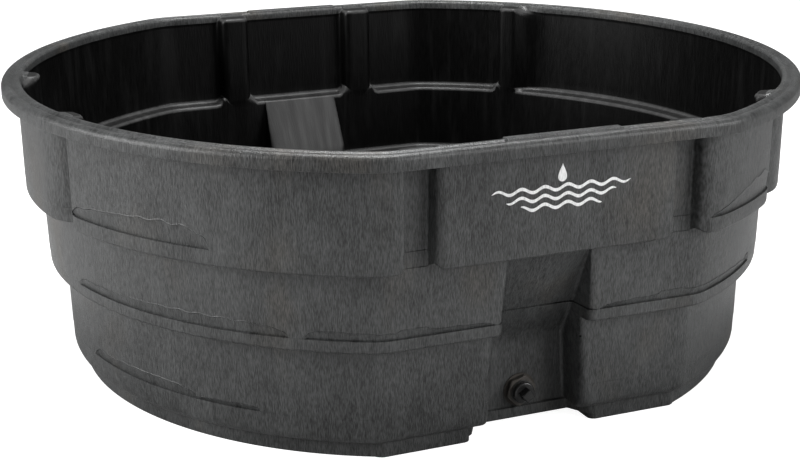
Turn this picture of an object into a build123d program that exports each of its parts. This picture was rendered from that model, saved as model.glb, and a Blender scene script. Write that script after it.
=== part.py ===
from build123d import *
import math
import os

# A round-ended livestock water trough, moulded in one piece, with a screwed drain plug.
# Millimetres. +Z is up, the ground is z = 0, the origin is the middle of the footprint.
# The long axis is X; the drain is on the -Y side.

os.makedirs("parts", exist_ok=True)

# ---- driving dimensions of the tank -------------------------------------------------
length = 1753.0
width = 1600.0
height = 635.0
wall = 8.0

rim_radius = length / 2
flat_inset = (length - width) / 2
corner_radius = 100.0

rim_width = 32.5
rim_round = 14.0
channel_radius = 12.0
channel_depth = 2.5
channel_from_edge = 24.0
lip_depth = 31.0
lip_bottom = height - lip_depth
rim_underside = height - wall

upper_bottom = 400.0
middle_bottom = 236.0
lower_bottom = 33.0
upper_radius_top = rim_radius - rim_width
upper_radius_bottom = 840.0
middle_radius_top = 806.0
middle_radius_bottom = 798.5
lower_radius_top = 765.0
lower_radius_bottom = 758.5

# Every tier ends in a plain band with a shallow cove above it.
upper_band_top = 431.0
middle_band_top = 261.0
lower_band_top = 87.0
cove_height = 20.0
cove_depth = 2.5
middle_top = upper_band_top
edge_round = 5.0
lower_round = 20.0

foot_radius = 735.0
foot_flat_inset = 70.0
floor_top = 14.0
floor_underside = floor_top - wall
foot_edge_width = 10.0

# ---- grooves of the upper tier ------------------------------------------------------
groove_half_floor = 27.0
groove_slope = 0.15
groove_floor_radius = 803.0
groove_reach = 60.0
ramp_floor_half = 5.0
ramp_slope = 0.9
groove_outer_round = 10.0
groove_inner_round = 6.0
least_round = 2.0
mouth_reach = 45.0
mouth_turn = 4.0
match = 0.01
front_groove_x = 280.0
back_groove_x = 170.0
left_groove_angles = (180 - 14.4, 180 + 14.4)
right_groove_angles = (-46.0, 46.0)
pilaster_top = 632.0
groove_top = pilaster_top - wall

# ---- drain niche --------------------------------------------------------------------
niche_top = 396.0
niche_top_depth = 728.0
niche_knee = 183.0
niche_back = 605.0
niche_bottom = 13.0
niche_half_bottom = 103.0
niche_half_top = 92.0
niche_step_height = 257.0
niche_step = 3.0
niche_corner_round = 9.0
niche_edge_round = 2.5
niche_edge_least = 15.0
niche_edge_clear = 32.0
least_upright = 0.7
foot_niche_half = 133.0
foot_niche_back = 585.0
beyond = 60.0

# ---- grip pads on the rim -----------------------------------------------------------
pad_length = 236.0
pad_width = 26.0
pad_height = 4.0
pad_from_edge = 8.0
pad_round = 4.0

# ---- drain fitting, along the -Y axis -----------------------------------------------
drain_z = 68.0
thread_radius = 24.0
hole_radius = 24.5
thread_play = 0.05
bore_radius = 19.0
flange_radius = 38.0
flange_thickness = 7.0
gasket_radius = 36.0
gasket_thickness = 3.0
washer_radius = 35.0
washer_thickness = 2.0
ring_play = 0.3
nut_flats = 58.0
nut_round = 9.0
nut_thickness = 11.0
spigot_proud = 3.5
seal_thickness = 3.0
plug_radius = 22.5
plug_flange = 7.0
plug_flange_round = 3.0
plug_shank = 27.0
plug_square = 20.0
plug_head = 19.0
plug_turn = 35.0
nut_turn = 15.0
nut_chamfer = 1.5
edge_chamfer = 1.0
niche_hole_radius = 3.0
niche_hole_depth = 5.0
niche_hole_z = 205.0
niche_hole_y = 668.0


def slope_angle(rise, spread):
    """Draft of a wall that moves outward by spread while it climbs by rise."""
    return math.degrees(math.atan2(spread, rise))


def plan_outline(radius, inset=flat_inset, corner=corner_radius):
    """Circle cut off by two straight sides, with rounded corners between them."""
    half_width = radius - inset
    half_angle = math.degrees(math.asin(half_width / radius))
    with BuildSketch(mode=Mode.PRIVATE) as outline:
        with BuildLine():
            right = CenterArc((0, 0), radius, -half_angle, 2 * half_angle)
            left = CenterArc((0, 0), radius, 180 - half_angle, 2 * half_angle)
            Line(right @ 1, left @ 0)
            Line(left @ 1, right @ 0)
        make_face()
        fillet(outline.vertices(), corner)
    return outline.sketch


def groove_shape(extra, near_half=groove_half_floor, near_slope=groove_slope):
    """Plan of one groove whose floor faces +X, grown by extra on every side.

    near_half and near_slope shape its -Y side; the +Y side is always steep.
    """
    floor = groove_floor_radius - extra
    mouth = groove_floor_radius + groove_reach
    near = near_half + extra * (math.hypot(1, near_slope) - near_slope)
    far = groove_half_floor + extra * (math.hypot(1, groove_slope) - groove_slope)
    with BuildSketch(mode=Mode.PRIVATE) as groove:
        Polygon(
            (floor, -near),
            (mouth, -near - near_slope * (mouth - floor)),
            (mouth, far + groove_slope * (mouth - floor)),
            (floor, far),
            align=None,
        )
        fillet(groove.vertices().group_by(Axis.X)[0], groove_inner_round + extra)
    return groove.sketch


def all_grooves(extra):
    """The eight grooves: two steep ones on each straight side, two on each round end.

    Those on the round ends have a ramp on the side that faces the end of the long axis.
    """
    steep = groove_shape(extra)
    ramped = groove_shape(extra, ramp_floor_half, ramp_slope)
    places = [Location((x, flat_inset, 0), (0, 0, -90)) for x in (-front_groove_x, front_groove_x)]
    places += [Location((x, -flat_inset, 0), (0, 0, 90)) for x in (-back_groove_x, back_groove_x)]
    with BuildSketch(mode=Mode.PRIVATE) as grooves:
        with Locations(*places):
            add(steep)
        for angle in (left_groove_angles[1], right_groove_angles[1]):
            add(Rot(0, 0, angle) * ramped)
        for angle in (left_groove_angles[0], right_groove_angles[0]):
            add(Rot(0, 0, angle) * mirror(ramped, about=Plane.XZ))
    return grooves.sketch


def upper_outline(radius, extra):
    """Outline of the upper tier with its grooves grown by extra."""
    with BuildSketch(mode=Mode.PRIVATE) as outline:
        add(plan_outline(radius))
        add(all_grooves(extra), mode=Mode.SUBTRACT)
        mouths = [v for v in outline.vertices() if is_groove_mouth(v, radius)]
        fillet(mouths, max(groove_outer_round - extra, least_round))
    return outline.sketch


def is_groove_mouth(vertex, radius):
    """True where a groove wall meets the outline of the tier."""
    on_flat = math.isclose(abs(vertex.Y), radius - flat_inset, abs_tol=match)
    on_round = math.isclose(math.hypot(vertex.X, vertex.Y), radius, abs_tol=match)
    nearest = min(abs(abs(vertex.X) - x) for x in (front_groove_x, back_groove_x))
    angle = math.degrees(math.atan2(vertex.Y, vertex.X)) % 360
    turns = [abs((angle - a + 180) % 360 - 180) for a in left_groove_angles + right_groove_angles]
    return (on_flat and nearest < mouth_reach) or (on_round and min(turns) < mouth_turn)


def tapered(outline, z_low, z_high, radius_low, radius_high):
    """Prism from an outline drawn at z_low, leaning outward to radius_high at z_high."""
    rise = z_high - z_low
    with BuildPart(mode=Mode.PRIVATE) as prism:
        with BuildSketch(Plane.XY.offset(z_low)):
            add(outline)
        extrude(amount=rise, taper=-slope_angle(rise, radius_high - radius_low))
    return prism.part


def tier(z_low, z_band, z_high, radius_low, radius_high, round_edge, grooves=None):
    """Solid tier: plain band at the bottom, shallow cove above it, then the wall.

    grooves is None for a plain tier, or the amount the grooves are grown by.
    """
    draft = (radius_high - radius_low) / (z_high - z_low)

    def radius_at(z):
        return radius_low + draft * (z - z_low)

    def outline(radius):
        return plan_outline(radius) if grooves is None else upper_outline(radius, grooves)

    z_cove = z_band + cove_height
    cove_radius = radius_at(z_band) - cove_depth
    with BuildPart(mode=Mode.PRIVATE) as body:
        add(tapered(outline(radius_low), z_low, z_band, radius_low, radius_at(z_band)))
        if round_edge:
            fillet(body.edges().group_by(Axis.Z)[0], round_edge)
        add(tapered(outline(cove_radius), z_band, z_cove, cove_radius, radius_at(z_cove)))
        add(tapered(outline(radius_at(z_cove)), z_cove, z_high, radius_at(z_cove), radius_high))
    return body.part


def niche_half(z):
    """Half the width of the niche at height z; it narrows evenly on the way up."""
    lean = (niche_half_bottom - niche_half_top) / (niche_step_height - niche_bottom)
    return niche_half_bottom - lean * (z - niche_bottom)


def niche_cutter(extra, z_low, z_high):
    """Block that hollows the drain niche on the -Y side, grown by extra on every side."""
    with BuildPart(mode=Mode.PRIVATE) as cutter:
        with BuildSketch(Plane.YZ):
            Polygon(
                (-rim_radius, niche_top),
                (-niche_top_depth, niche_top),
                (-niche_back, niche_knee),
                (-niche_back, -beyond),
                (-rim_radius, -beyond),
                align=None,
            )
            if extra:
                offset(amount=extra, kind=Kind.INTERSECTION)
        extrude(amount=2 * niche_half_bottom, both=True)
        with BuildSketch(Plane.XZ):
            Polygon(
                (-niche_half(-beyond), -beyond),
                (-niche_half(niche_top + beyond), niche_top + beyond),
                (niche_half(niche_top + beyond), niche_top + beyond),
                (niche_half(-beyond), -beyond),
                align=None,
            )
            if extra:
                offset(amount=extra, kind=Kind.INTERSECTION)
        extrude(amount=length, both=True, mode=Mode.INTERSECT)
        with BuildSketch(Plane.XY.offset(z_low)):
            Rectangle(length, 2 * length)
        extrude(amount=z_high - z_low, mode=Mode.INTERSECT)
        inner_edges = [e for e in cutter.edges() if is_niche_corner(e)]
        fillet(inner_edges, niche_corner_round + extra)
    return cutter.part


def is_niche_corner(edge):
    """True for the upright or leaning edges at the back of a niche block."""
    centre = edge.center()
    rise = abs((edge @ 1).Z - (edge @ 0).Z)
    return rise > wall and abs(centre.Y) < niche_top_depth and abs(centre.X) > niche_half_top / 2


def is_niche_mouth(edge):
    """True for the near-upright edges where a niche side meets the front of the tank."""
    rise = abs((edge @ 1).Z - (edge @ 0).Z)
    centre = edge.center()
    upright = rise > niche_edge_least and rise > edge.length * least_upright
    beside = abs(abs(centre.X) - niche_half(centre.Z)) < wall
    return upright and beside and abs(centre.Y) > niche_back + niche_edge_clear


def both_ends(part):
    """The part and its mirror image on the other side of the tank."""
    return part + mirror(part, about=Plane.XZ)


def niche_pair(extra, z_low):
    """Both drain niches as cutters, with the upper part of each a little wider."""
    whole = niche_cutter(extra, z_low, niche_top + beyond)
    wider = niche_cutter(extra + niche_step, niche_step_height, niche_top + beyond)
    return both_ends(whole + wider)


def foot_niche(extra, z_low, z_high, flared):
    """Recess of the foot under both niches, straight sided or flared outward."""
    back = foot_niche_back if not flared else niche_back
    half_back = foot_niche_half if not flared else niche_half_bottom
    front = foot_radius - foot_flat_inset
    with BuildPart(mode=Mode.PRIVATE) as recess:
        with BuildSketch(Plane.XY.offset(z_low)):
            Polygon(
                (-half_back, -back),
                (-foot_niche_half, -front),
                (-foot_niche_half, -front - beyond),
                (foot_niche_half, -front - beyond),
                (foot_niche_half, -front),
                (half_back, -back),
                align=None,
            )
            if extra:
                offset(amount=extra, kind=Kind.INTERSECTION)
        extrude(amount=z_high - z_low)
    return both_ends(recess.part)


def disc(radius, y_inner, y_outer):
    """Round disc on the drain axis, reaching from y_inner to y_outer toward -Y."""
    with BuildPart(mode=Mode.PRIVATE) as shape:
        with BuildSketch(Plane.XZ.offset(y_inner)):
            with Locations((0, drain_z)):
                Circle(radius)
        extrude(amount=y_outer - y_inner)
    return shape.part


def ring_of_tank(radius, z_low, z_high, corner=corner_radius):
    """Straight prism with the plan of the tank at the given radius."""
    with BuildPart(mode=Mode.PRIVATE) as prism:
        with BuildSketch(Plane.XY.offset(z_low)):
            add(plan_outline(radius, corner=corner))
        extrude(amount=z_high - z_low)
    return prism.part


# ---- the tank -----------------------------------------------------------------------
with BuildPart() as foot_recess:
    with BuildSketch():
        add(plan_outline(foot_radius - foot_edge_width, foot_flat_inset))
    extrude(amount=floor_underside)
    add(foot_niche(foot_edge_width, 0, floor_underside, flared=False), mode=Mode.SUBTRACT)

with BuildPart() as foot:
    with BuildSketch():
        add(plan_outline(foot_radius, foot_flat_inset))
    extrude(amount=lower_bottom)
    add(foot_niche(0, 0, niche_bottom, flared=False), mode=Mode.SUBTRACT)
    add(foot_niche(0, niche_bottom, lower_bottom, flared=True), mode=Mode.SUBTRACT)
    add(foot_recess.part, mode=Mode.SUBTRACT)

with BuildPart() as tiers:
    add(tier(lower_bottom, lower_band_top, middle_bottom,
             lower_radius_bottom, lower_radius_top, lower_round))
    add(tier(middle_bottom, middle_band_top, middle_top,
             middle_radius_bottom, middle_radius_top, edge_round))
    add(tier(upper_bottom, upper_band_top, groove_top,
             upper_radius_bottom, upper_radius_top, edge_round, grooves=0))

with BuildPart() as rim:
    add(ring_of_tank(rim_radius, lip_bottom, height, corner_radius + rim_width))
    fillet(rim.edges().group_by(Axis.Z)[-1], rim_round)
    add(ring_of_tank(rim_radius - wall, lip_bottom, rim_underside, corner_radius + rim_width - wall),
        mode=Mode.SUBTRACT)

channel_height = height - channel_depth + channel_radius
crest = Pos(0, 0, channel_height) * plan_outline(rim_radius - channel_from_edge).wire()
with BuildPart() as rim_channel:
    with BuildSketch(Plane(origin=crest @ 0, z_dir=crest % 0)):
        Circle(channel_radius)
    sweep(path=crest)

with BuildPart() as groove_caps:
    with BuildSketch(Plane.XY.offset(groove_top)):
        add(all_grooves(wall))
        add(plan_outline(upper_radius_top), mode=Mode.INTERSECT)
    extrude(amount=wall)

with BuildPart() as foot_hollow:
    with BuildSketch(Plane.XY.offset(floor_top)):
        add(plan_outline(foot_radius - wall, foot_flat_inset))
    extrude(amount=lower_bottom + wall - floor_top)
    add(foot_niche(wall, floor_top, niche_bottom + wall, flared=False), mode=Mode.SUBTRACT)
    add(foot_niche(wall, niche_bottom + wall, lower_bottom + wall, flared=True),
        mode=Mode.SUBTRACT)

with BuildPart() as hollow:
    add(tier(lower_bottom + wall, lower_band_top, middle_bottom + wall,
             lower_radius_bottom - wall, lower_radius_top - wall, lower_round - wall))
    add(tier(middle_bottom + wall, middle_band_top, middle_top + wall,
             middle_radius_bottom - wall, middle_radius_top - wall, 0))
    add(tier(upper_bottom + wall, upper_band_top, pilaster_top,
             upper_radius_bottom - wall, upper_radius_top - wall, 0, grooves=wall))
    add(ring_of_tank(upper_radius_top - wall, pilaster_top, height))
    add(foot_hollow.part)
    add(niche_pair(wall, floor_top), mode=Mode.SUBTRACT)

with BuildPart() as tank:
    add(tiers.part)
    add(foot.part)
    add(niche_pair(0, niche_bottom), mode=Mode.SUBTRACT)
    fillet([e for e in tank.edges() if is_niche_mouth(e)], niche_edge_round)
    add(rim.part)
    add(groove_caps.part)
    add(hollow.part, mode=Mode.SUBTRACT)
    add(rim_channel.part, mode=Mode.SUBTRACT)
    with BuildSketch(Plane.XY.offset(rim_underside)):
        with Locations(
            (0, width / 2 - pad_from_edge - pad_width / 2),
            (0, -width / 2 + pad_from_edge + pad_width / 2),
        ):
            RectangleRounded(pad_length, pad_width, pad_round)
    extrude(amount=height + pad_height - rim_underside)
    add(disc(hole_radius, foot_niche_back - wall, niche_back + wall), mode=Mode.SUBTRACT)
    with BuildSketch(Plane.YZ.offset(niche_half(niche_hole_z) - wall)):
        with Locations((-niche_hole_y, niche_hole_z)):
            Circle(niche_hole_radius)
    extrude(amount=wall + niche_hole_depth, mode=Mode.SUBTRACT)
tank.part.label = "tank"
export_step(tank.part, "parts/tank.step")


# ---- the drain fitting --------------------------------------------------------------
inner_face = niche_back - wall
gasket_face = inner_face - gasket_thickness
flange_face = gasket_face - flange_thickness
washer_face = niche_back + washer_thickness
nut_face = washer_face + nut_thickness
spigot_face = nut_face + spigot_proud
seal_face = spigot_face + seal_thickness
plug_face = seal_face + plug_flange
head_face = plug_face + plug_head
shank_end = seal_face - plug_shank
drain_axis = (0, drain_z)

with BuildPart() as drain_body:
    with BuildSketch(Plane.XZ.offset(flange_face)):
        with Locations(drain_axis):
            Circle(flange_radius)
    extrude(amount=flange_thickness)
    chamfer(drain_body.edges().filter_by(GeomType.CIRCLE), edge_chamfer)
    with BuildSketch(Plane.XZ.offset(flange_face)):
        with Locations(drain_axis):
            Circle(thread_radius)
    extrude(amount=spigot_face - flange_face)
    chamfer(drain_body.faces().sort_by(Axis.Y)[0].edges(), edge_chamfer)
    with BuildSketch(Plane.XZ.offset(flange_face)):
        with Locations(drain_axis):
            Circle(bore_radius)
    extrude(amount=spigot_face - flange_face, mode=Mode.SUBTRACT)
drain_body.part.label = "drain_body"
export_step(drain_body.part, "parts/drain_body.step")

with BuildPart() as drain_gasket:
    with BuildSketch(Plane.XZ.offset(gasket_face)):
        with Locations(drain_axis):
            Circle(gasket_radius)
            Circle(thread_radius + ring_play, mode=Mode.SUBTRACT)
    extrude(amount=gasket_thickness)
drain_gasket.part.label = "drain_gasket"
export_step(drain_gasket.part, "parts/drain_gasket.step")

with BuildPart() as drain_washer:
    with BuildSketch(Plane.XZ.offset(niche_back)):
        with Locations(drain_axis):
            Circle(washer_radius)
            Circle(thread_radius + ring_play, mode=Mode.SUBTRACT)
    extrude(amount=washer_thickness)
drain_washer.part.label = "drain_washer"
export_step(drain_washer.part, "parts/drain_washer.step")

with BuildPart() as lock_nut:
    with BuildSketch(Plane.XZ.offset(washer_face)) as nut_plan:
        with Locations(drain_axis):
            RegularPolygon(nut_flats / 2, 6, major_radius=False, rotation=nut_turn)
        fillet(nut_plan.vertices(), nut_round)
    extrude(amount=nut_thickness)
    chamfer(lock_nut.faces().sort_by(Axis.Y)[0].edges(), nut_chamfer)
    with BuildSketch(Plane.XZ.offset(washer_face)):
        with Locations(drain_axis):
            Circle(thread_radius + thread_play)
    extrude(amount=nut_thickness, mode=Mode.SUBTRACT)
lock_nut.part.label = "lock_nut"
export_step(lock_nut.part, "parts/lock_nut.step")

with BuildPart() as plug_seal:
    with BuildSketch(Plane.XZ.offset(spigot_face)):
        with Locations(drain_axis):
            Circle(plug_radius)
            Circle(bore_radius + ring_play, mode=Mode.SUBTRACT)
    extrude(amount=seal_thickness)
plug_seal.part.label = "plug_seal"
export_step(plug_seal.part, "parts/plug_seal.step")

with BuildPart() as drain_plug:
    with BuildSketch(Plane.XZ.offset(seal_face)):
        with Locations(drain_axis):
            Circle(plug_radius)
    extrude(amount=plug_flange)
    fillet(drain_plug.faces().sort_by(Axis.Y)[0].edges(), plug_flange_round)
    with BuildSketch(Plane.XZ.offset(plug_face)):
        with Locations(drain_axis):
            Rectangle(plug_square, plug_square, rotation=plug_turn)
    extrude(amount=plug_head)
    chamfer(drain_plug.faces().sort_by(Axis.Y)[0].edges(), edge_chamfer)
    with BuildSketch(Plane.XZ.offset(shank_end)):
        with Locations(drain_axis):
            Circle(bore_radius - thread_play)
    extrude(amount=plug_shank)
    chamfer(drain_plug.faces().sort_by(Axis.Y)[-1].edges(), edge_chamfer)
drain_plug.part.label = "drain_plug"
export_step(drain_plug.part, "parts/drain_plug.step")
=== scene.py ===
import math
from collections import namedtuple

import bmesh
import bpy
import numpy as np
from mathutils import Matrix, Vector


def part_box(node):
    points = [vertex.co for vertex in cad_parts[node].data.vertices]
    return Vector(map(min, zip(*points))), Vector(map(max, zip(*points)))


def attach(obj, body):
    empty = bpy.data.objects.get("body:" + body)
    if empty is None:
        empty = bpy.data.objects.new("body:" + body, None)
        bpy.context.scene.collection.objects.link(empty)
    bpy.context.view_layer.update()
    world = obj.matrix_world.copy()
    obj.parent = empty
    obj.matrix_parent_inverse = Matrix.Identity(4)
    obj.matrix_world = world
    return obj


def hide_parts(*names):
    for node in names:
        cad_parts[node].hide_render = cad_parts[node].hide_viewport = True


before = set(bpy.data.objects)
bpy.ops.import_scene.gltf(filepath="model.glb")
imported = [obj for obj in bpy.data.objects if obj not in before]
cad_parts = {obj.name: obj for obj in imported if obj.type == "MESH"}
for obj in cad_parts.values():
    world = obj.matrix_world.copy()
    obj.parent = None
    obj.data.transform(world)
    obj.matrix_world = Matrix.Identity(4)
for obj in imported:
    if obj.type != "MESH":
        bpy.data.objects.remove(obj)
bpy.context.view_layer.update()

# A round-ended livestock water trough. Metres, +Z up, the drain is on the -Y side.
# The tank is one closed skin: rows run up the outside, over the rim and down the inside,
# and columns run round it. Every point is a place on the middle outline moved outward
# by a distance d and up to a height z, and the columns in a groove or in a drain niche
# follow their own profile instead of the plain one.

# ---- sizes from the frame ----------------------------------------------------------------
tank_low, tank_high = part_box("tank")
length = tank_high.x - tank_low.x
width = tank_high.y - tank_low.y
pad_height = 0.004
rim_top = tank_high.z - pad_height
wall = 0.008
flat_inset = (length - width) / 2
sliver = 0.0005

# ---- middle outline, which all distances d are measured from -----------------------------
mid_radius = 0.8
mid_flat = mid_radius - flat_inset
mid_corner = 0.1
flat_half = math.sqrt((mid_radius - mid_corner) ** 2 - (mid_flat - mid_corner) ** 2)
corner_turn = math.atan2(flat_half, mid_flat - mid_corner)
corner_length = mid_corner * corner_turn
quarter = flat_half + corner_length + mid_radius * (math.pi / 2 - corner_turn)
column_pitch = 0.009

# ---- tiers: heights of the bottom, the plain band's top and the top, and d at both ends --
Tier = namedtuple("Tier", "low band high d_low d_high")
lower_tier = Tier(0.033, 0.087, 0.236, -0.0415, -0.035)
middle_tier = Tier(0.236, 0.261, 0.400, -0.0015, 0.005)
upper_tier = Tier(0.400, 0.431, 0.624, 0.040, 0.044)
lower_round = 0.020
edge_round = 0.005
inner_corner = 0.003
panel_mid = (0.0423, 0.540)
panel_top = 0.612

# ---- coves: shallow scoops above the bands, that swell into scallops ---------------------
cove = 0.020
cove_lip = 0.0006
cove_dent = 0.0045
cove_shoulder, cove_shoulder_dent = 0.88, 0.3
cove_brow, cove_brow_rise = 0.95, 0.0010
groove_dent = 0.3
least_cove = 0.002
shallow_cove = 0.006
cusp_rate, cusp_share = 57, 0.09
ripple_rate, ripple_share = 131, 0.04

# ---- ledges inside, foot and floor -------------------------------------------------------
ledge_round = 0.011
ledge_skin = 0.005
inner_fillet = 0.011
foot_edge = -0.065
foot_edge_width = 0.010
foot_flat_extra = 0.0065
floor_top = 0.014
floor_underside = floor_top - wall
middle_belt, lower_belt = 0.340, 0.185

# ---- rim: d of its edge, two crests, the channel between them and its inner edge ---------
rim_edge = length / 2 - mid_radius
crest_outer, channel, crest_inner, inner_edge = 0.0610, 0.0535, 0.0445, 0.0345
channel_floor = rim_top - 0.005
lip_bottom = rim_top - 0.031
rim_underside = rim_top - wall
rim_round, lip_round, crest_round, bead_round = 0.0135, 0.0015, 0.004, 0.007
bead_bottom, inner_lip_top, inner_lip_low = 0.6165, 0.6135, 0.598
inner_lip_blend = 0.010

# ---- grooves, which show inside as pilasters with an ear on top --------------------------
groove_rise = 0.041
steep_half, steep_slope = 0.027, 0.15
ramp_half, ramp_slope, ramp_round = 0.005, 0.9, 0.105
groove_floor = 0.003
groove_floor_top = 0.007
groove_roof = 0.030
groove_inner_round = 0.006
least_round = 0.002
pilaster_face = groove_floor - wall
pilaster_top = rim_top - 0.003
pilaster_foot, pilaster_toe = 0.4125, 0.399
ear_tip, ear_middle, ear_back = (0.034, pilaster_top), (0.022, 0.6305), (0.016, 0.6295)
ear_root = (pilaster_face + 0.003, pilaster_top - 0.004, 0.011)
panel_corner = 0.017
panel_corner_fade = 0.045
front_groove_x = 0.280
back_groove_x = 0.170
left_groove_way = mid_radius * math.radians(14.4)
right_groove_way = mid_radius * math.radians(46.0)

# ---- drain niche -------------------------------------------------------------------------
niche_back = -(mid_flat - 0.605)
niche_knee = 0.183
niche_top = 0.396
niche_lean = (0.728 - 0.605) / (niche_top - niche_knee)
niche_step_z = 0.257
niche_step = 0.003
niche_bottom = 0.013
hollow_step_top, hollow_step_low, hollow_foot = 0.246, 0.2405, 0.046
niche_half_bottom = 0.103
niche_half_step = 0.092
niche_half_base = 0.100
niche_corner_round = 0.009
niche_edge_round = 0.015
niche_depth = 0.080
foot_niche_half = 0.133
foot_niche_back = -(mid_flat - 0.585)
# Columns are shifted sideways to follow the niche's walls: wholly between the first two
# distances from its middle, and not at all from the third on.
shift_whole_from, shift_whole_to, shift_end = 0.08, 0.118, 0.30
drain_bore_y, drain_bore_run, drain_bore_radius = -0.621, 0.040, 0.0245
small_hole = (0.092, -0.680, 0.193)
small_hole_run = (0.010, 0.002, 0)
small_hole_radius = 0.0028

# ---- rest pads on the rim ----------------------------------------------------------------
pad_half = 0.120
pad_inner, pad_outer = 0.0365, 0.0605
pad_knurl = 0.006
pad_sunk = 0.006
pad_brim_width = 0.002
pad_brim_sunk, pad_valley_drop = 0.001, 0.0004
knurl_height = 0.0012
knurl_steps = 8

# ---- mark --------------------------------------------------------------------------------
mark_x, mark_z = 0.002, 0.532
mark_proud, mark_sunk = 0.0004, 0.0010
wave_drop, wave_length, wave_height = 0.017, 0.048, 0.0045
wave_half, wave_half_step, wave_thick = 0.145, 0.030, 0.0032
drop_rise, drop_radius, drop_tall, drop_points = 0.028, 0.013, 1.35, 48

# ---- studio: softboxes are (place, size, power) ------------------------------------------
world_light = 0.16
floor_reach, floor_tone, floor_glow = 30, 0.5, 0.95
softboxes = (
    ((-5.5, 0.5, 2.2), 3.0, 330),
    ((3.6, -4.4, 2.4), 3.0, 215),
    ((0.3, 0.2, 5.0), 1.5, 300),
)
lamp_target = (0, 0, 0.3)
camera_place = (-1.3773, -3.3315, 1.3328)
camera_yaw, camera_pitch, camera_roll = 0.4044, 0.2992, -0.0036
focal_length, sensor_width = 2.03138, 36
camera_shift = (-0.0285, 0.0086)


def outline(stations):
    """Points, outward normals and flatness along the middle outline.

    A station is the way walked from the middle of the -Y side, toward +X first.
    """
    s = np.mod(stations, 4 * quarter)
    x_side = np.where(s < 2 * quarter, 1.0, -1.0)
    s = np.where(s < 2 * quarter, s, 4 * quarter - s)
    y_side = np.where(s < quarter, -1.0, 1.0)
    s = np.where(s < quarter, s, 2 * quarter - s)
    in_corner = np.clip((s - flat_half) / mid_corner, 0, corner_turn)
    turn = in_corner + np.clip(s - flat_half - corner_length, 0, None) / mid_radius
    x = np.minimum(s, flat_half) + mid_corner * np.sin(in_corner)
    y = mid_flat - mid_corner + mid_corner * np.cos(in_corner)
    x = x + mid_radius * (np.sin(turn) - np.sin(in_corner))
    y = y + mid_radius * (np.cos(turn) - np.cos(in_corner))
    normals = np.stack([np.sin(turn) * x_side, np.cos(turn) * y_side], axis=-1)
    return np.stack([x * x_side, y * y_side], axis=-1), normals, 1 - in_corner / corner_turn


def polyline(corners):
    """Points along corners given as (x, y, rounding, arc_steps, run_steps).

    A corner with arc_steps becomes an arc of radius rounding, or, where rounding is
    negative, evenly spread points that far before and after it. run_steps divides the
    straight run to the next corner.
    """
    ends = []
    for i, (x, y, rounding, arc_steps, run_steps) in enumerate(corners):
        here = Vector((x, y))
        if not arc_steps:
            ends.append([here])
            continue
        before = (Vector(corners[i - 1][:2]) - here).normalized()
        after = (Vector(corners[i + 1][:2]) - here).normalized()
        half = before.angle(after) / 2
        if rounding <= 0:
            reach = -rounding or sliver
            first, last = here + before * reach, here + after * reach
            shares = [step / arc_steps for step in range(arc_steps + 1)]
            ends.append([first.lerp(last, share) for share in shares])
            continue
        centre = here + (before + after).normalized() * rounding / math.sin(half)
        first = here + before * rounding / math.tan(half) - centre
        last = here + after * rounding / math.tan(half) - centre
        sweep = first.angle(last)
        arc = []
        for step in range(arc_steps + 1):
            share = step / arc_steps
            weight_first = math.sin((1 - share) * sweep) / math.sin(sweep)
            weight_last = math.sin(share * sweep) / math.sin(sweep)
            arc.append(centre + first * weight_first + last * weight_last)
        ends.append(arc)
    points = []
    for i, arc in enumerate(ends):
        points += arc
        run_steps = corners[i][4]
        if i + 1 < len(ends):
            for step in range(1, run_steps):
                points.append(arc[-1].lerp(ends[i + 1][0], step / run_steps))
    return np.array([tuple(p) for p in points])


# ---- columns -----------------------------------------------------------------------------
def groove_places():
    """Each groove: station of its middle, and its sides as (half floor, slope, mouth rounding)."""
    def steep(mouth):
        return (steep_half, steep_slope, mouth)

    ramp = (ramp_half, ramp_slope, ramp_round)
    places = [
        (-front_groove_x, steep(0.008), steep(0.020)),
        (front_groove_x, steep(0.004), steep(0.025)),
    ]
    for x in (-back_groove_x, back_groove_x):
        places.append((2 * quarter + x, steep(0.008), steep(0.020)))
    ends = ((quarter, right_groove_way, 0.006), (3 * quarter, left_groove_way, 0.003))
    for end, way, edge in ends:
        before, after = (steep(edge), ramp), (ramp, steep(edge))
        places.append((end - way,) + before)
        places.append((end + way,) + after)
    return places


def groove_side(extra, shape):
    """One side of a groove: ways across it, and how far each is in the groove."""
    half, slope, mouth_round = shape
    floor = half + extra * (math.hypot(1, slope) - slope)
    mouth = floor + slope * groove_rise
    mouth_round = max(mouth_round - extra, least_round)
    points = polyline([
        (0, 0, 0, 0, 3),
        (floor, 0, groove_inner_round + extra, 3, 3),
        (mouth, groove_rise, mouth_round, 9, 1),
        (mouth + mouth_round + 2 * sliver, groove_rise, 0, 0, 1),
    ])
    return points[:, 0], 1 - points[:, 1] / groove_rise


def niche_section(extra, edge_rounding, corner_rounding):
    """Half the cross-section of a drain niche: ways across it, and how far each is in it."""
    half = niche_half_base + extra
    points = polyline([
        (0, 0, 0, 0, 5),
        (half, 0, corner_rounding, 4, 4),
        (half + sliver, niche_depth, edge_rounding, 6, 1),
        (half + edge_rounding + 2 * sliver, niche_depth, 0, 0, 1),
    ])
    return points[:, 0], 1 - points[:, 1] / niche_depth


def across(centre, side, outer, inner, kind):
    """Columns on one side of a centre: outer and inner station, shares in groove and niche."""
    found = []
    for way_out, way_in, share_out, share_in in zip(outer[0], inner[0], outer[1], inner[1]):
        if side < 0 and way_out == 0:
            continue
        shares = (share_out, share_in, 0, 0) if kind == "groove" else (0, 0, share_out, share_in)
        found.append((centre + side * way_out, centre + side * way_in) + shares)
    return found


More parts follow.
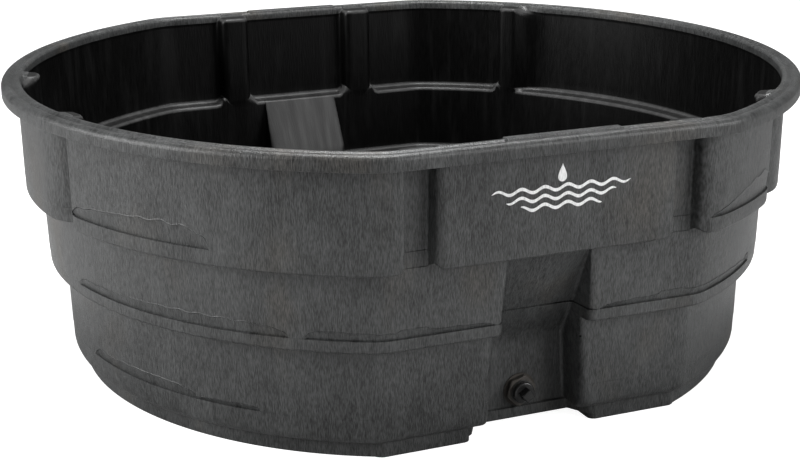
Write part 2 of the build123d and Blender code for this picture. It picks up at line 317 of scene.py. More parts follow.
def all_columns():
    """Every column, sorted round the tank, with plain columns between grooves and niches."""
    special = []
    for centre, *sides in groove_places():
        for side, shape in zip((-1, 1), sides):
            special += across(centre, side, groove_side(0, shape), groove_side(wall, shape), "groove")
    outer = niche_section(0, niche_edge_round, niche_corner_round)
    inner = niche_section(wall, niche_edge_round - wall, niche_corner_round + wall)
    for centre in (0, 2 * quarter):
        for side in (-1, 1):
            special += across(centre, side, outer, inner, "niche")
    special.sort()
    columns = []
    following = special[1:] + [(special[0][0] + 4 * quarter,) + special[0][1:]]
    for here, there in zip(special, following):
        columns.append(here)
        gap = there[0] - here[0]
        plain = max(here[2:]) < sliver and max(there[2:]) < sliver
        steps = math.ceil(gap / column_pitch) if plain else 1
        for step in range(1, steps):
            station = here[0] + gap * step / steps
            columns.append((station, station, 0, 0, 0, 0))
    return np.array(columns).T


# ---- rows --------------------------------------------------------------------------------
def tier_face(tier, z):
    """How far out a tier's wall stands at height z."""
    return tier.d_low + (tier.d_high - tier.d_low) * (z - tier.low) / (tier.high - tier.low)


def niche_face(z, skin=0.0):
    """How far out the niche's wall stands at height z: upright, then a ramp above the knee."""
    ramp = niche_back + (z - niche_knee) * niche_lean - skin * math.hypot(1, niche_lean)
    if z > niche_step_z:
        ramp -= niche_step * math.hypot(1, niche_lean)
    return max(niche_back - skin, ramp)


def niche_half(z):
    """Half the width of the niche at height z."""
    lean = (niche_half_bottom - niche_half_step) / (niche_step_z - niche_bottom)
    wider = niche_step if z > niche_step_z else 0
    return niche_half_bottom - lean * (z - niche_bottom) + wider


def corner(plain, groove=None, niche=None, arc=0, run=1, halves=None, dent=0.0, foot=0.0, tier=None):
    """One corner of the profile; see rows_of for what each entry means."""
    return {
        "plain": plain, "groove": groove or plain, "niche": niche or plain,
        "arc": arc, "run": run, "halves": halves or (niche_half_base, niche_half_base),
        "dent": dent, "foot": foot, "tier": -1 if tier is None else tier,
    }


def foot_outside():
    """The underside of the floor, the foot's edge and the outside of the foot."""
    inner = foot_edge - foot_edge_width
    recess = foot_niche_half + foot_edge_width
    niche_inner = foot_niche_back - foot_edge_width
    wide = (foot_niche_half, foot_niche_half)
    flared = (niche_half_bottom, foot_niche_half)
    under_lower = lower_tier.low - sliver
    return [
        corner((inner, floor_underside), niche=(niche_inner, floor_underside),
               halves=(recess, recess), foot=1),
        corner((inner, 0), niche=(niche_inner, 0), halves=(recess, recess), foot=1),
        corner((foot_edge, 0, 0.003), niche=(foot_niche_back, 0, 0.003), arc=2, halves=wide, foot=1),
        corner((foot_edge, niche_bottom - sliver), niche=(foot_niche_back, niche_bottom - sliver),
               halves=wide, foot=1),
        corner((foot_edge, niche_bottom), niche=(niche_back, niche_bottom), halves=flared, foot=1),
        corner((foot_edge, under_lower), niche=(niche_back, under_lower), halves=flared, foot=1),
    ]


def tier_outside(tier, rounding, number, groove_face=None):
    """Outside of a tier: rounded bottom edge, plain band, cove with its brow, and wall."""
    low, band = tier.low, tier.band
    niched = tier is not upper_tier

    def entry(z, niche_z=None, blend=sliver, **more):
        at = niche_z or z
        return corner(
            (tier_face(tier, z), z),
            groove=(groove_face(z), z) if groove_face else None,
            niche=(niche_face(at), at, -blend) if niched else None,
            halves=(niche_half(at), niche_half(at)) if niched else None,
            tier=number, **more,
        )

    foot = entry(low, low + rounding / 2, rounding * 0.45, arc=6 if rounding > edge_round else 4, run=2)
    foot["plain"] = (tier.d_low, low, rounding)
    foot["groove"] = (groove_face(low), low, sliver) if groove_face else foot["plain"]
    if not niched:
        foot["niche"] = foot["plain"]
    crease = (band, band + cove_lip)
    if tier is middle_tier:
        crease = (niche_step_z - sliver, niche_step_z + sliver)
    rows = [foot, entry(band, crease[0])]
    rows.append(entry(band + cove_lip, crease[1], run=4, dent=cove_dent))
    rows.append(entry(band + cove_shoulder * cove, dent=cove_shoulder_dent * cove_dent))
    rows.append(entry(band + cove_brow * cove, dent=-cove_brow_rise))
    rows.append(entry(band + cove, run=3))
    return rows


def outside_rows():
    """All the corners of the outside, up to the underside of the rim."""
    def groove_face(z):
        share = (z - upper_tier.low) / (upper_tier.high - upper_tier.low)
        return groove_floor + (groove_floor_top - groove_floor) * share

    def concave(d, z, at, **more):
        return corner((d, z, inner_corner), niche=(niche_face(at), at, -sliver), arc=2,
                      halves=(niche_half(at), niche_half(at)), **more)

    rows = foot_outside()
    rows += tier_outside(lower_tier, lower_round, 0)
    rows.append(corner((tier_face(lower_tier, niche_knee), niche_knee), run=3, tier=0,
                       niche=(niche_back, niche_knee),
                       halves=(niche_half(niche_knee), niche_half(niche_knee))))
    rows.append(concave(lower_tier.d_high, lower_tier.high, lower_tier.high - 0.0025))
    rows += tier_outside(middle_tier, edge_round, 1)
    top = concave(middle_tier.d_high, middle_tier.high, middle_tier.high - 0.0015)
    top["groove"] = (middle_tier.d_high, middle_tier.high, sliver)
    rows.append(top)
    rows += tier_outside(upper_tier, edge_round, 2, groove_face)
    rows.append(corner(panel_mid, groove=(groove_face(panel_mid[1]), panel_mid[1]), run=4, tier=2))
    rows.append(corner((upper_tier.d_high, panel_top), groove=(groove_floor_top, upper_tier.high)))
    rows.append(corner((upper_tier.d_high, rim_underside), groove=(groove_roof, upper_tier.high)))
    return rows


def rim_rows():
    """The rim: underside of its rolled lip, outside, and a top with a shallow channel."""
    lip_inner = rim_edge - wall
    return [
        corner((lip_inner, rim_underside)),
        corner((lip_inner, lip_bottom)),
        corner((rim_edge, lip_bottom, lip_round), arc=2, run=2),
        corner((rim_edge, rim_top, rim_round), arc=7),
        corner((crest_outer, rim_top, crest_round), arc=3),
        corner((channel, channel_floor, crest_round), arc=3),
        corner((crest_inner, rim_top, crest_round), arc=3),
        corner((inner_edge, rim_top, bead_round), groove=(*ear_tip, least_round), arc=5),
    ]


def inside_rows():
    """The inside, from the rim down to the floor: two ledges and a rounded foot."""
    def skin(tier, z):
        return tier_face(tier, z) - wall

    def plain(tier, z, groove=None, niche_z=None, **more):
        at = niche_z or z
        halves = (niche_half(at) + wall, niche_half(at) + wall)
        niched = tier is not upper_tier
        return corner((skin(tier, z), z), groove=groove,
                      niche=(niche_face(at, wall), at, -sliver) if niched else None,
                      halves=halves if niched else (niche_half_base + wall,) * 2, **more)

    def ledge(tier, z, at, **more):
        entry = plain(tier, z, niche_z=at, arc=5, **more)
        entry["plain"] = entry["groove"] = (skin(tier, z), z, ledge_round)
        entry["niche"] = (niche_face(at, wall), at, -0.002)
        return entry

    upper_ledge, middle_ledge = upper_tier.low + ledge_skin, middle_tier.low + ledge_skin
    foot_ledge = lower_tier.low + wall
    no_niche = (niche_half_base + wall,) * 2
    rows = [
        corner((inner_edge, bead_bottom), groove=ear_middle, halves=no_niche),
        corner((skin(upper_tier, inner_lip_top - sliver), inner_lip_top), groove=ear_back,
               halves=no_niche),
        corner((skin(upper_tier, inner_lip_low), inner_lip_low, -inner_lip_blend),
               groove=ear_root, arc=5, run=3, halves=no_niche),
        plain(upper_tier, upper_tier.band + cove, run=3,
              groove=(pilaster_face, upper_tier.band + cove + wall)),
        plain(upper_tier, upper_tier.band, groove=(pilaster_face, upper_tier.band + wall)),
        corner((skin(upper_tier, upper_ledge), upper_ledge, inner_fillet), arc=4,
               groove=(pilaster_face, pilaster_foot, -0.001), halves=no_niche),
    ]
    brink = ledge(middle_tier, upper_ledge, upper_ledge)
    brink["niche"] = (niche_face(upper_ledge, wall), upper_ledge, ledge_round)
    brink["groove"] = (pilaster_face + 0.0008, pilaster_toe, -0.004)
    rows.append(brink)
    rows += [
        plain(middle_tier, middle_belt, run=2),
        plain(middle_tier, middle_tier.band + cove, run=3),
        plain(middle_tier, middle_tier.band, niche_z=niche_step_z),
        corner((skin(middle_tier, middle_ledge), middle_ledge, inner_fillet), arc=4,
               niche=(niche_face(hollow_step_top, wall), hollow_step_top, -0.001),
               halves=(niche_half(hollow_step_top) + wall,) * 2),
        ledge(lower_tier, middle_ledge, hollow_step_low, run=2),
        plain(lower_tier, lower_belt, run=3),
        plain(lower_tier, lower_tier.band + cove, run=3),
        plain(lower_tier, lower_tier.band),
    ]
    hollow_back = niche_back - wall
    foot_back = foot_niche_back - wall
    narrow = (niche_half_bottom + wall, niche_half_bottom + wall)
    flared = (niche_half_bottom + wall, foot_niche_half + wall)
    wide = (foot_niche_half + wall, foot_niche_half + wall)
    foot_inner = foot_edge - wall
    rows += [
        corner((lower_tier.d_low - wall, foot_ledge, lower_round - wall), arc=4,
               niche=(hollow_back, hollow_foot, -0.006), halves=narrow),
        corner((foot_inner + 0.007, foot_ledge), niche=(hollow_back, floor_top + wall), halves=narrow,
               foot=0.5),
        corner((foot_inner, foot_ledge, 0.004), niche=(foot_back, floor_top + wall, 0.002), arc=2,
               halves=flared, foot=1),
        corner((foot_inner, floor_top), niche=(foot_back, floor_top), halves=wide, foot=1),
    ]
    return rows


def rows_of(corners):
    """Profile rows of a list of corners.

    Gives arrays over the rows: plain, groove and niche points (d, z), half width of the
    niche at its back and at its mouth, dent of the cove, share of the foot's flat extra
    and number of the tier.
    """
    def along(key):
        return polyline([tuple(c[key][:2]) + ((c[key] + (0,))[2], c["arc"], c["run"]) for c in corners])

    values = {"plain": along("plain"), "groove": along("groove"), "niche": along("niche")}
    keys = ("halves", "dent", "foot", "tier")
    for key in keys:
        values[key] = []
    for i, c in enumerate(corners):
        after = corners[min(i + 1, len(corners) - 1)]
        steps = [0] * (c["arc"] + 1) + [step / c["run"] for step in range(1, c["run"])]
        if i + 1 == len(corners):
            steps = [0] * (c["arc"] + 1)
        for share in steps:
            values["halves"].append([a + (b - a) * share for a, b in zip(c["halves"], after["halves"])])
            values["dent"].append(c["dent"] + (after["dent"] - c["dent"]) * share)
            values["foot"].append(c["foot"] + (after["foot"] - c["foot"]) * share)
            values["tier"].append(c["tier"])
    return {key: np.array(value) for key, value in values.items()}


# ---- coves that swell into scallops ------------------------------------------------------
def swell(stations, start, end, low, high):
    """A scallop's height between two stations: it grows from low to high, then closes."""
    way = np.mod(stations - start + quarter, 4 * quarter) - quarter
    share = np.clip(way / (end - start), 0, 1)
    grown = low + (high - low) * np.sin(share * math.pi / 2)
    return grown * np.sqrt((1 - share ** 9) * (1 - (1 - share) ** 25))


def cove_heights(stations):
    """Height of the cove above the band, over the least one, in the three tiers."""
    left = 3 * quarter
    front = 4 * quarter

    def at(degrees):
        return left + mid_radius * math.radians(degrees)

    # Each scallop: its start and end stations, and its height just after the one and before
    # the other.
    scallops = (
        ((at(9), at(35), 0.018, 0.024), (at(35.4), at(46), 0.006, 0.010)),
        ((at(12), at(52), 0.016, 0.026), (at(54), front - 0.112, 0.020, 0.010),
         (front + 0.116, front + 0.60, 0.008, 0.018)),
        ((at(16.8), at(42.4), 0.022, 0.046), (front + 0.330, front + 0.585, 0.006, 0.055)),
    )
    cusps = cusp_share * abs(np.sin(stations * cusp_rate))
    waves = 0.93 + cusps + ripple_share * np.sin(stations * ripple_rate + 1)
    heights = []
    for group in scallops:
        height = np.zeros_like(stations)
        for turned in (stations, stations + 2 * quarter):
            for scallop in group:
                height = np.maximum(height, swell(turned, *scallop))
        heights.append(height * waves)
    return heights


# ---- the tank ----------------------------------------------------------------------------
def tank_points():
    """Coordinates of every point of the skin, as rows by columns, and the first inside row."""
    outside = outside_rows() + rim_rows()
    rows = rows_of(outside + inside_rows())
    first_inside = sum(c["arc"] + c["run"] for c in outside)
    out_station, in_station, groove_out, groove_in, niche_out, niche_in = all_columns()
    inner = (np.arange(len(rows["dent"])) >= first_inside)[:, None]
    station = np.where(inner, in_station, out_station)
    groove = np.where(inner, groove_in, groove_out)
    niche = np.where(inner, niche_in, niche_out)

    def mixed(axis):
        plain, cut, recess = (rows[key][:, axis, None] for key in ("plain", "groove", "niche"))
        return plain + (cut - plain) * groove + (recess - plain) * niche

    d, z = mixed(0), mixed(1)
    from_niche = np.abs(np.mod(station + quarter, 2 * quarter) - quarter)
    side = np.sign(np.mod(station + quarter, 2 * quarter) - quarter)
    base = niche_half_base + wall * inner
    back_half, mouth_half = rows["halves"][:, 0, None], rows["halves"][:, 1, None]
    shift = back_half + (mouth_half - back_half) * (1 - niche) - base
    faded = (shift_end - from_niche) / (shift_end - shift_whole_to)
    share = np.clip(np.minimum(from_niche / shift_whole_from, faded), 0, 1)
    station = station + side * shift * share

    open_share = (1 - groove) * (1 - niche)
    heights = cove_heights(station)
    for number, tier in enumerate((lower_tier, middle_tier, upper_tier)):
        of_tier = (rows["tier"] == number)[:, None]
        band, high = tier.band, tier.high
        tall = least_cove + heights[number]
        top = band + tall
        low_part = band + (z - band) * tall / cove
        high_part = top + (z - band - cove) * (high - top) / (high - band - cove)
        moved = np.where(z < band, z, np.where(z < band + cove, low_part, high_part))
        z = np.where(of_tier, z + (moved - z) * open_share, z)
        depth = rows["dent"][:, None] * np.clip(heights[number] / shallow_cove, 0, 1)
        if number == 2:
            depth = np.where(groove > 0.5, rows["dent"][:, None].clip(0) * groove_dent, depth)
        d = np.where(of_tier, d - depth * (1 - niche), d)

    rise = np.zeros_like(station)
    for centre, *sides in groove_places():
        for side, (half, slope, _) in zip((-1, 1), sides):
            way = side * (np.mod(station - centre + 2 * quarter, 4 * quarter) - 2 * quarter)
            edge = half + slope * groove_rise + inner * wall * (math.hypot(1, slope) - slope)
            reach = np.clip(panel_corner - (way - edge), 0, panel_corner) * (way > 0)
            rounded = panel_corner - np.sqrt(panel_corner ** 2 - reach ** 2)
            rise = np.maximum(rise, rounded * (slope < ramp_slope))
    brink = upper_tier.low + ledge_skin * inner
    fade = np.clip(1 - (z - brink) / panel_corner_fade, 0, 1)
    lifted = z > upper_tier.low - sliver - inner * (ledge_round - ledge_skin)
    z = np.where(lifted, z + rise * fade * (1 - groove ** (1 + 5 * inner)), z)

    place, normal, flatness = outline(station)
    d = d + rows["foot"][:, None] * foot_flat_extra * flatness
    points = place + normal * d[..., None]
    return np.concatenate([points, z[..., None]], axis=-1), first_inside


def skin_mesh(points, first_inside, name):
    """Closed mesh of a skin that starts under the floor and ends on the floor.

    Faces from row first_inside on take the second material.
    """
    rows, columns = points.shape[:2]
    number = np.arange(rows * columns).reshape(rows, columns)
    after = np.roll(number, -1, axis=1)
    quads = np.stack([number[:-1], after[:-1], after[1:], number[1:]], axis=-1).reshape(-1, 4)
    faces = quads.tolist() + [number[0, ::-1].tolist(), number[-1].tolist()]
    mesh = bpy.data.meshes.new(name)
    mesh.from_pydata(points.reshape(-1, 3).tolist(), [], faces)
    inside = [0] * (first_inside * columns) + [1] * (len(quads) - first_inside * columns) + [0, 1]
    mesh.polygons.foreach_set("material_index", inside)
    return mesh


def smooth(obj, sharp_degrees):
    """Smooth shading with edges sharper than the angle kept, and weighted normals."""
    obj.data.shade_smooth()
    obj.data.set_sharp_from_angle(angle=math.radians(sharp_degrees))
    weighted = obj.modifiers.new("weighted normals", "WEIGHTED_NORMAL")
    weighted.keep_sharp = True


def new_object(name, data):
    """An object of the given mesh or lamp, placed in the scene."""
    obj = bpy.data.objects.new(name, data)
    bpy.context.scene.collection.objects.link(obj)
    return obj


def drill(tank, tip, ahead, radius):
    """Cut a round hole that runs from the point tip along the vector ahead."""
    ahead = Vector(ahead)
    shape = bmesh.new()
    middle = Matrix.Translation(Vector(tip) + ahead / 2)
    turn = ahead.to_track_quat("Z", "Y").to_matrix().to_4x4()
    bmesh.ops.create_cone(shape, cap_ends=True, segments=96, radius1=radius, radius2=radius,
                          depth=ahead.length, matrix=middle @ turn)
    cutter_mesh = bpy.data.meshes.new("cutter")
    shape.to_mesh(cutter_mesh)
    shape.free()
    cutter = new_object("cutter", cutter_mesh)
    cut = tank.modifiers.new("hole", "BOOLEAN")
    cut.operation = "DIFFERENCE"
    cut.solver = "EXACT"
    cut.object = cutter
    graph = bpy.context.evaluated_depsgraph_get()
    drilled = bpy.data.meshes.new_from_object(tank.evaluated_get(graph))
    tank.modifiers.clear()
    tank.data = drilled
    bpy.data.objects.remove(cutter)


def pad_mesh(side):
    """One knurled rest pad on a long side's rim: a closed shell sunk in the rim."""
    along, over = 2 * pad_half / pad_knurl, (pad_outer - pad_inner) / pad_knurl
    xs = np.linspace(-pad_half, pad_half, round(along * knurl_steps) + 1)
    ds = np.linspace(pad_inner, pad_outer, round(over * knurl_steps) + 1)
    d, x = np.meshgrid(ds, xs)
    turns = 2 * math.pi / pad_knurl
    knurl = 0.5 + 0.5 * np.sin(turns * x) * np.sin(turns * d)
    edge = np.minimum(pad_half - abs(x), np.minimum(d - pad_inner, pad_outer - d))
    raised = np.clip(edge / pad_brim_width, 0, 1) ** 0.5
    top = rim_top - pad_brim_sunk + (pad_height - pad_valley_drop + knurl_height * knurl) * raised
    rows, columns = x.shape
    upper = np.stack([x, side * (mid_flat + d), top], axis=-1).reshape(-1, 3)
    lower = upper * (1, 1, 0) + (0, 0, rim_top - pad_sunk)
    number = np.arange(rows * columns).reshape(rows, columns)
    quads = np.stack([number[:-1, :-1], number[1:, :-1], number[1:, 1:], number[:-1, 1:]], axis=-1)
    faces = [quad[::side] for quad in quads.reshape(-1, 4).tolist()]
    faces += [[point + rows * columns for point in reversed(face)] for face in faces]
    ring = np.concatenate([number[0], number[1:, -1], number[-1, -2::-1], number[-2:0:-1, 0]]).tolist()
    for here, there in zip(ring, ring[1:] + ring[:1]):
        wall_face = [here, there, there + rows * columns, here + rows * columns]
        faces.append(wall_face[::side])
    mesh = bpy.data.meshes.new("pad")
    mesh.from_pydata(np.concatenate([upper, lower]).tolist(), [], faces)
    return mesh


def make_tank(plastics):
    """The tank in one piece: skin, both drilled holes and the rest pads."""
    points, first_inside = tank_points()
    tank = new_object("tank_skin", skin_mesh(points, first_inside, "tank_skin"))
    for plastic in plastics:
        tank.data.materials.append(plastic)
    hole_low, hole_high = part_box("drain_body")
    drain_z = (hole_low.z + hole_high.z) / 2
    drill(tank, (0, drain_bore_y, drain_z), (0, drain_bore_run, 0), drain_bore_radius)
    drill(tank, small_hole, small_hole_run, small_hole_radius)
    whole = bmesh.new()
    whole.from_mesh(tank.data)
    for side in (-1, 1):
        whole.from_mesh(pad_mesh(side))
    whole.to_mesh(tank.data)
    whole.free()
    smooth(tank, 38)
    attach(tank, "tank_body")
    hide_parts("tank")


# ---- generic mark: a water drop over three waves -----------------------------------------
def prism(outlines, name):
    """Closed raised shapes on the front panel, from outlines of (x, z) counterclockwise."""
    def at(x, z, proud):
        return (x, -(mid_flat + tier_face(upper_tier, z) + proud), z)

    points, faces = [], []
    for shape in outlines:
        first, count = len(points), len(shape)
        points += [at(x, z, mark_proud) for x, z in shape]
        points += [at(x, z, -mark_sunk) for x, z in shape]
        front = list(range(first, first + count))
        faces.append(front)
        faces.append([point + count for point in reversed(front)])
        for here, there in zip(front, front[1:] + front[:1]):
            faces.append([here, here + count, there + count, there])
    mesh = bpy.data.meshes.new(name)
    mesh.from_pydata(points, [], faces)
    return mesh


def make_mark(paint):
    """The mark is thin and white, in place of the one on the panel."""
    waves = []
    for level in range(3):
        middle = mark_z - level * wave_drop
        half = wave_half - level * wave_half_step
        xs = [mark_x + half * (step / 30 - 1) for step in range(61)]
        turns = 2 * math.pi / wave_length
        crests = [middle + wave_height * math.sin((x - mark_x) * turns) for x in xs]
        thick = [wave_thick * math.sqrt(max(1 - ((x - mark_x) / half) ** 8, 0.01)) for x in xs]
        lower = [(x, z - t) for x, z, t in zip(xs, crests, thick)]
        upper = [(x, z + t) for x, z, t in zip(xs, crests, thick)]
        waves.append(lower + upper[::-1])
    drop_z = mark_z + drop_rise
    drop = []
    for step in range(drop_points):
        turn = 2 * math.pi * step / drop_points
        width = math.sin(turn / 2) ** 1.6
        drop.append((mark_x - drop_radius * math.sin(turn) * width,
                     drop_z + drop_radius * drop_tall * math.cos(turn)))
    mark = new_object("mark", prism(waves + [drop], "mark"))
    mark.data.materials.append(paint)
    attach(mark, "tank_body")


# ---- materials ---------------------------------------------------------------------------
def material(name):
    """A new node material, its node tree and its shader."""
    made = bpy.data.materials.new(name)
    made.use_nodes = True
    return made, made.node_tree, made.node_tree.nodes["Principled BSDF"]


def node(tree, kind, **settings):
    """A new node of the given kind and settings."""
    made = tree.nodes.new(kind)
    for key, value in settings.items():
        setattr(made, key, value)
    return made


def noise(tree, stretch, scale, detail, roughness=0.5):
    """Noise in object space, stretched by the given factors."""
    place = node(tree, "ShaderNodeTexCoord")
    mapping = node(tree, "ShaderNodeMapping")
    mapping.inputs["Scale"].default_value = stretch
    made = node(tree, "ShaderNodeTexNoise")
    made.inputs["Scale"].default_value = scale
    made.inputs["Detail"].default_value = detail
    made.inputs["Roughness"].default_value = roughness
    tree.links.new(place.outputs["Object"], mapping.inputs["Vector"])
    tree.links.new(mapping.outputs["Vector"], made.inputs["Vector"])
    return made.outputs["Fac"]


def streak(tree, scale, detail, along):
    """Noise drawn out down the walls and across the rim, along times as fine that way."""
    place = node(tree, "ShaderNodeTexCoord")
    level = node(tree, "ShaderNodeVectorMath", operation="MULTIPLY")
    level.inputs[1].default_value = (1, 1, 0)
    outward = node(tree, "ShaderNodeVectorMath", operation="NORMALIZE")
    ring = node(tree, "ShaderNodeVectorMath", operation="SCALE")
    ring.inputs["Scale"].default_value = mid_radius
    drawn_out = node(tree, "ShaderNodeVectorMath", operation="SCALE")
    drawn_out.inputs["Scale"].default_value = along
    total = node(tree, "ShaderNodeVectorMath", operation="ADD")
    made = node(tree, "ShaderNodeTexNoise")
    made.inputs["Scale"].default_value = scale
    made.inputs["Detail"].default_value = detail
    tree.links.new(place.outputs["Object"], level.inputs[0])
    tree.links.new(level.outputs[0], outward.inputs[0])
    tree.links.new(outward.outputs[0], ring.inputs[0])
    tree.links.new(place.outputs["Object"], drawn_out.inputs[0])
    tree.links.new(ring.outputs[0], total.inputs[0])
    tree.links.new(drawn_out.outputs[0], total.inputs[1])
    tree.links.new(total.outputs[0], made.inputs["Vector"])
    return made.outputs["Fac"]


def spread(tree, value, low, high, out_low, out_high):
    """Map a value from one range to another, held at its ends."""
    made = node(tree, "ShaderNodeMapRange")
    made.clamp = True
    for key, number in (("From Min", low), ("From Max", high), ("To Min", out_low), ("To Max", out_high)):
        made.inputs[key].default_value = number
    tree.links.new(value, made.inputs["Value"])
    return made.outputs["Result"]


def combine(tree, operation, first, second):
    """Maths on two values, each a socket or a number."""
    made = node(tree, "ShaderNodeMath", operation=operation)
    for socket, value in zip(made.inputs, (first, second)):
        if isinstance(value, (int, float)):
            socket.default_value = value
        else:
            tree.links.new(value, socket)
    return made.outputs[0]


def grey(tree, value, tint=(1.0, 1.0, 1.0)):
    """A colour of the given brightness and tint."""
    made = node(tree, "ShaderNodeCombineColor")
    for socket, share in zip(made.inputs, tint):
        tree.links.new(combine(tree, "MULTIPLY", value, share), socket)
    return made.outputs["Color"]


def mixed_colour(tree, share, first, second):
    """The first colour turning into the second as the share goes from 0 to 1."""
    made = node(tree, "ShaderNodeMix", data_type="RGBA")
    for socket, value in ((made.inputs[0], share), (made.inputs[6], first), (made.inputs[7], second)):
        tree.links.new(value, socket)
    return made.outputs[2]


def bumped(tree, shader, height, distance):
    """Give a shader relief that is the given distance deep."""
    made = node(tree, "ShaderNodeBump")
    made.inputs["Distance"].default_value = distance
    made.inputs["Strength"].default_value = 1.0
    tree.links.new(height, made.inputs["Height"])
    tree.links.new(made.outputs["Normal"], shader.inputs["Normal"])


def outside_plastic():
    """Black structural foam with fine upright streaks, mottling, scratches and brown stains."""
    made, tree, shader = material("tank_plastic")
    fine = streak(tree, 480, 2, 0.18)
    broad = streak(tree, 110, 3, 0.22)
    mottle = noise(tree, (1, 1, 0.7), 14, 5, 0.6)
    cloud = noise(tree, (1, 1, 1), 3.5, 3)
    grain = noise(tree, (1, 1, 1), 900, 2)
    tone = combine(tree, "MULTIPLY", spread(tree, fine, 0.35, 0.65, -1, 1), 0.026)
    for layer, low, high, strength in ((broad, 0.34, 0.66, 0.008), (mottle, 0.30, 0.70, 0.010),
                                       (cloud, 0.35, 0.65, 0.008)):
        share = combine(tree, "MULTIPLY", spread(tree, layer, low, high, -1, 1), strength)
        tone = combine(tree, "ADD", tone, share)
    scratch = spread(tree, noise(tree, (1, 1, 0.35), 75, 6, 0.7), 0.66, 0.74, 0.0, 0.030)
    tone = combine(tree, "ADD", combine(tree, "ADD", tone, scratch), 0.044)
    tone = combine(tree, "MAXIMUM", tone, 0.008)
    stain = spread(tree, noise(tree, (1, 1, 0.5), 7, 4), 0.55, 0.70, 0.0, 1.0)
    clean, stained = grey(tree, tone, (0.97, 1.0, 1.0)), grey(tree, tone, (1.06, 1.0, 0.90))
    tree.links.new(mixed_colour(tree, stain, clean, stained), shader.inputs["Base Color"])
    rough = combine(tree, "ADD", combine(tree, "MULTIPLY", mottle, 0.20), 0.28)
    tree.links.new(rough, shader.inputs["Roughness"])
    shader.inputs["Specular IOR Level"].default_value = 0.5
    streaks, grains = combine(tree, "MULTIPLY", fine, 0.7), combine(tree, "MULTIPLY", grain, 0.3)
    bumped(tree, shader, combine(tree, "ADD", streaks, grains), 0.0012)
    return made


def inside_plastic():
    """The inner faces: cleaner, and darker than the outside as painted shade, since little light gets
    into the tank; lighter where they lean up, as painted light from above.
    """
    made, tree, shader = material("tank_plastic_inside_shaded")
    fine = streak(tree, 300, 3, 0.12)
    broad = streak(tree, 40, 4, 0.15)
    # Near black as painted shade: the same plastic as outside, darkened because little light gets into
    # the tank.
    tone = combine(tree, "MULTIPLY", spread(tree, fine, 0.3, 0.7, 0, 1), 0.002)
    tone = combine(tree, "ADD", tone, spread(tree, broad, 0.5, 0.8, 0.001, 0.007))
    facing = node(tree, "ShaderNodeSeparateXYZ")
    place = node(tree, "ShaderNodeTexCoord")
    tree.links.new(place.outputs["Normal"], facing.inputs[0])
    # Painted light from above: faces that lean up are made lighter, most on slopes and less on level
    # faces, mottled by the broad streaks.
    top_light_lean = combine(tree, "MULTIPLY", spread(tree, facing.outputs["Z"], 0.20, 0.50, 0.0, 0.048),
                      spread(tree, facing.outputs["Z"], 0.80, 0.97, 1.0, 0.25))
    dust_and_top_light = combine(tree, "MULTIPLY", top_light_lean, spread(tree, broad, 0.3, 0.7, 0.75, 1.2))
    tree.links.new(grey(tree, combine(tree, "ADD", tone, dust_and_top_light)), shader.inputs["Base Color"])
    rough = combine(tree, "ADD", combine(tree, "MULTIPLY", fine, 0.15), 0.30)
    tree.links.new(rough, shader.inputs["Roughness"])
    shader.inputs["Specular IOR Level"].default_value = 0.15
    bumped(tree, shader, fine, 0.0006)
    return made


def mark_paint():
    """White paint, worn a little where the streaks of the plastic show through."""
    made, tree, shader = material("mark_paint")
    wear = noise(tree, (1, 1, 0.3), 260, 4)
    tone = spread(tree, wear, 0.30, 0.58, 0.70, 0.95)
    tree.links.new(grey(tree, tone), shader.inputs["Base Color"])
    tree.links.new(spread(tree, wear, 0.3, 0.7, 0.6, 0.4), shader.inputs["Roughness"])
    bumped(tree, shader, wear, 0.0002)
    return made


def simple_plastic(name, tone, spread_of_tone, roughness, grain_scale, bump_depth, specular=0.5,
                   tint=(1.0, 1.0, 1.0)):
    """Small fitting part: fine grain, light wear and dust."""
    made, tree, shader = material(name)
    grain = noise(tree, (1, 1, 1), grain_scale, 3)
    dust_and_top_light = noise(tree, (1, 1, 1), 90, 4)
    value = combine(tree, "MULTIPLY", spread(tree, dust_and_top_light, 0.35, 0.7, -0.5, 0.5), spread_of_tone)
    tree.links.new(grey(tree, combine(tree, "ADD", value, tone), tint), shader.inputs["Base Color"])
    rough = combine(tree, "ADD", combine(tree, "MULTIPLY", grain, 0.2), roughness)
    tree.links.new(rough, shader.inputs["Roughness"])
    shader.inputs["Specular IOR Level"].default_value = specular
    bumped(tree, shader, grain, bump_depth)
    return made


def dress(node_name, made):
    """Give a carried-over CAD node its material."""
    obj = bpy.data.objects[node_name]
    obj.data.materials.clear()
    obj.data.materials.append(made)


# ---- studio ------------------------------------------------------------------------------
def make_floor():
    """A floor that looks white to the camera and throws back less light than it seems to."""
    mesh = bpy.data.meshes.new("floor")
    around = ((-1, -1), (1, -1), (1, 1), (-1, 1))
    corners = [(floor_reach * x, floor_reach * y, 0) for x, y in around]
    mesh.from_pydata(corners, [], [(0, 1, 2, 3)])
    floor = new_object("floor", mesh)
    made, tree, shader = material("floor_white")
    shader.inputs["Base Color"].default_value = (floor_tone, floor_tone, floor_tone, 1)
    shader.inputs["Roughness"].default_value = 0.9
    shader.inputs["Specular IOR Level"].default_value = 0.1
    shader.inputs["Emission Color"].default_value = (1, 1, 1, 1)
    path = node(tree, "ShaderNodeLightPath")
    glow = combine(tree, "MULTIPLY", path.outputs["Is Camera Ray"], floor_glow)
    tree.links.new(glow, shader.inputs["Emission Strength"])
    mesh.materials.append(made)


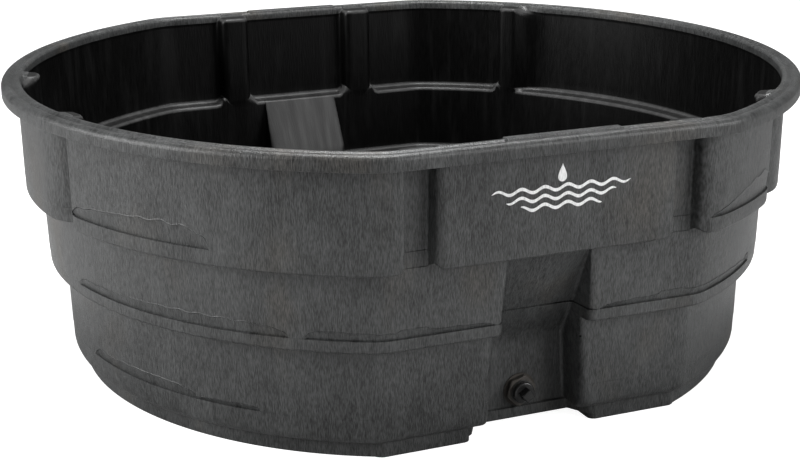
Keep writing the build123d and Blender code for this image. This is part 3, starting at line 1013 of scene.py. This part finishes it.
def make_world():
    """A white backdrop for the camera that lights the trough more softly."""
    world = bpy.data.worlds.new("studio")
    bpy.context.scene.world = world
    world.use_nodes = True
    tree = world.node_tree
    seen = tree.nodes["Background"]
    seen.inputs["Strength"].default_value = 1.0
    seen.inputs["Color"].default_value = (1, 1, 1, 1)
    lighting = node(tree, "ShaderNodeBackground")
    lighting.inputs["Strength"].default_value = world_light
    lighting.inputs["Color"].default_value = (1, 1, 1, 1)
    path = node(tree, "ShaderNodeLightPath")
    mix = node(tree, "ShaderNodeMixShader")
    tree.links.new(path.outputs["Is Camera Ray"], mix.inputs[0])
    tree.links.new(lighting.outputs[0], mix.inputs[1])
    tree.links.new(seen.outputs[0], mix.inputs[2])
    tree.links.new(mix.outputs[0], tree.nodes["World Output"].inputs["Surface"])


def make_lights():
    """Square softboxes, each turned to the trough."""
    for place, size, power in softboxes:
        data = bpy.data.lights.new("softbox", "AREA")
        data.size = size
        data.energy = power
        lamp = new_object("softbox", data)
        lamp.location = place
        ahead = Vector(lamp_target) - lamp.location
        lamp.rotation_euler = ahead.to_track_quat("-Z", "Y").to_euler()


def make_camera():
    """Camera at the photograph's place; focal length and shift are in picture widths."""
    level = Vector((math.sin(camera_yaw), math.cos(camera_yaw), 0))
    ahead = level * math.cos(camera_pitch) - Vector((0, 0, math.sin(camera_pitch)))
    right = Vector((math.cos(camera_yaw), -math.sin(camera_yaw), 0))
    up = right.cross(ahead)
    turned_right = right * math.cos(camera_roll) + up * math.sin(camera_roll)
    turned_up = up * math.cos(camera_roll) - right * math.sin(camera_roll)
    data = bpy.data.cameras.new("camera")
    data.sensor_width = sensor_width
    data.lens = focal_length * sensor_width
    data.shift_x, data.shift_y = camera_shift
    data.clip_end = 100
    camera = bpy.data.objects.new("camera", data)
    bpy.context.scene.collection.objects.link(camera)
    turn = Matrix((turned_right, turned_up, -ahead)).transposed().to_4x4()
    camera.matrix_world = Matrix.Translation(camera_place) @ turn
    bpy.context.scene.camera = camera


make_tank((outside_plastic(), inside_plastic()))
make_mark(mark_paint())
brownish = (1.12, 1.0, 0.88)
dress("drain_body", simple_plastic("fitting_plastic", 0.030, 0.010, 0.35, 500, 0.0003))
dress("drain_gasket", simple_plastic("gasket_rubber", 0.020, 0.008, 0.65, 700, 0.0003, 0.3))
dress("drain_washer", simple_plastic("washer_rubber", 0.050, 0.020, 0.60, 700, 0.0003, 0.3, brownish))
dress("lock_nut", simple_plastic("nut_plastic", 0.050, 0.020, 0.35, 500, 0.0003, 0.5, brownish))
dress("plug_seal", simple_plastic("seal_rubber", 0.020, 0.006, 0.55, 700, 0.0003, 0.3))
dress("drain_plug", simple_plastic("plug_plastic", 0.022, 0.008, 0.10, 400, 0.0001))
make_floor()
make_world()
make_lights()
bpy.context.scene.view_settings.view_transform = "Standard"
make_camera()
